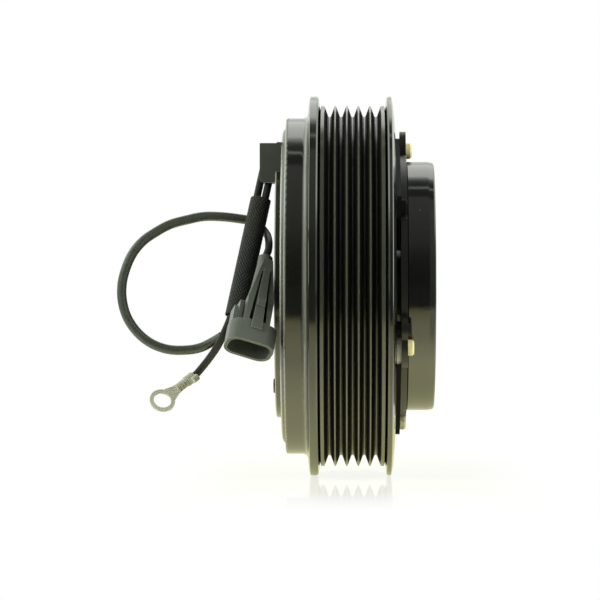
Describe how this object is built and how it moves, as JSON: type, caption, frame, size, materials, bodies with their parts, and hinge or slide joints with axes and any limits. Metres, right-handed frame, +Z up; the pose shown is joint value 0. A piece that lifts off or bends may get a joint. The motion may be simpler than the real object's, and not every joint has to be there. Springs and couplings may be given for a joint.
{
  "type": "electromagnetic clutch",
  "caption": "Belt-driven electromagnetic clutch: a grooved pulley turns on a ball bearing round a fixed field coil and grips a sprung hub when the coil is fed.",
  "frame": {"origin": "middle of the bearing bore, in the belt's centre plane", "axes": "+Y along the spin axis from the coil to the hub, +Z up and +X towards the viewer as in the picture"},
  "size_m": [0.1174, 0.0964, 0.1174],
  "materials": {
    "pulley_paint": "gloss",
    "hub_paint": "gloss",
    "coil_paint": "satin",
    "plate_phosphate": "satin",
    "armature_iron": "satin",
    "spring_steel": "bright",
    "yellow_zinc": "satin",
    "bearing_steel": "bright",
    "cage_nylon": "matt",
    "bobbin_nylon": "matt",
    "copper_wire": "gloss",
    "potting_resin": "gloss",
    "black_rubber": "matt",
    "block_plastic": "satin",
    "connector_plastic": "satin",
    "lead_pvc": "satin",
    "tubing_plastic": "satin",
    "sleeve_braid": "matt",
    "tinned_brass": "satin"
  },
  "bodies": {
    "field_coil": {"coil_shell": "coil_paint", "coil_bobbin": "bobbin_nylon", "coil_winding": "copper_wire", "coil_potting": "potting_resin", "mounting_plate": "plate_phosphate", "locating_pin": "plate_phosphate", "lead_block": "block_plastic", "ground_lead": "lead_pvc", "feed_lead": "lead_pvc", "loop_tubing": "tubing_plastic", "lead_sleeve": "sleeve_braid", "ring_terminal": "tinned_brass", "connector_housing": "connector_plastic", "connector_blade": "tinned_brass", "wire_seal": "black_rubber", "bearing_inner_ring": "bearing_steel"},
    "pulley": {"rotor_pulley": "pulley_paint", "bearing_outer_ring": "bearing_steel", "bearing_seals": "black_rubber", "bearing_circlip": "bearing_steel"},
    "bearing_cage": {"bearing_balls": "bearing_steel", "bearing_cages": "cage_nylon"},
    "hub": {"hub_plate": "hub_paint", "damper_drum": "hub_paint", "damper_rubber": "black_rubber", "inner_hub": "armature_iron", "hub_rivets": "yellow_zinc", "rubber_stops": "black_rubber", "leaf_springs": "spring_steel"},
    "armature": {"armature_disc": "armature_iron", "armature_rivets": "yellow_zinc"}
  },
  "joints": [
    {"name": "pulley_spin", "type": "hinge", "parent": "field_coil", "child": "pulley", "pos_m": [0, 0, 0], "axis": [0, 1, 0], "continuous": true},
    {"name": "cage_spin", "type": "hinge", "parent": "field_coil", "child": "bearing_cage", "pos_m": [0, 0, 0], "axis": [0, 1, 0], "continuous": true},
    {"name": "hub_spin", "type": "hinge", "parent": "field_coil", "child": "hub", "pos_m": [0, 0, 0], "axis": [0, 1, 0], "continuous": true},
    {"name": "armature_slide", "type": "slide", "parent": "hub", "child": "armature", "axis": [0, -1, 0], "range_m": [0, 0.0005], "stiffness_N_per_m": 8000, "deforming": ["leaf_springs"]}
  ],
  "couplings": [
    {"joint": "cage_spin", "follows": "pulley_spin", "ratio": 0.5632}
  ]
}
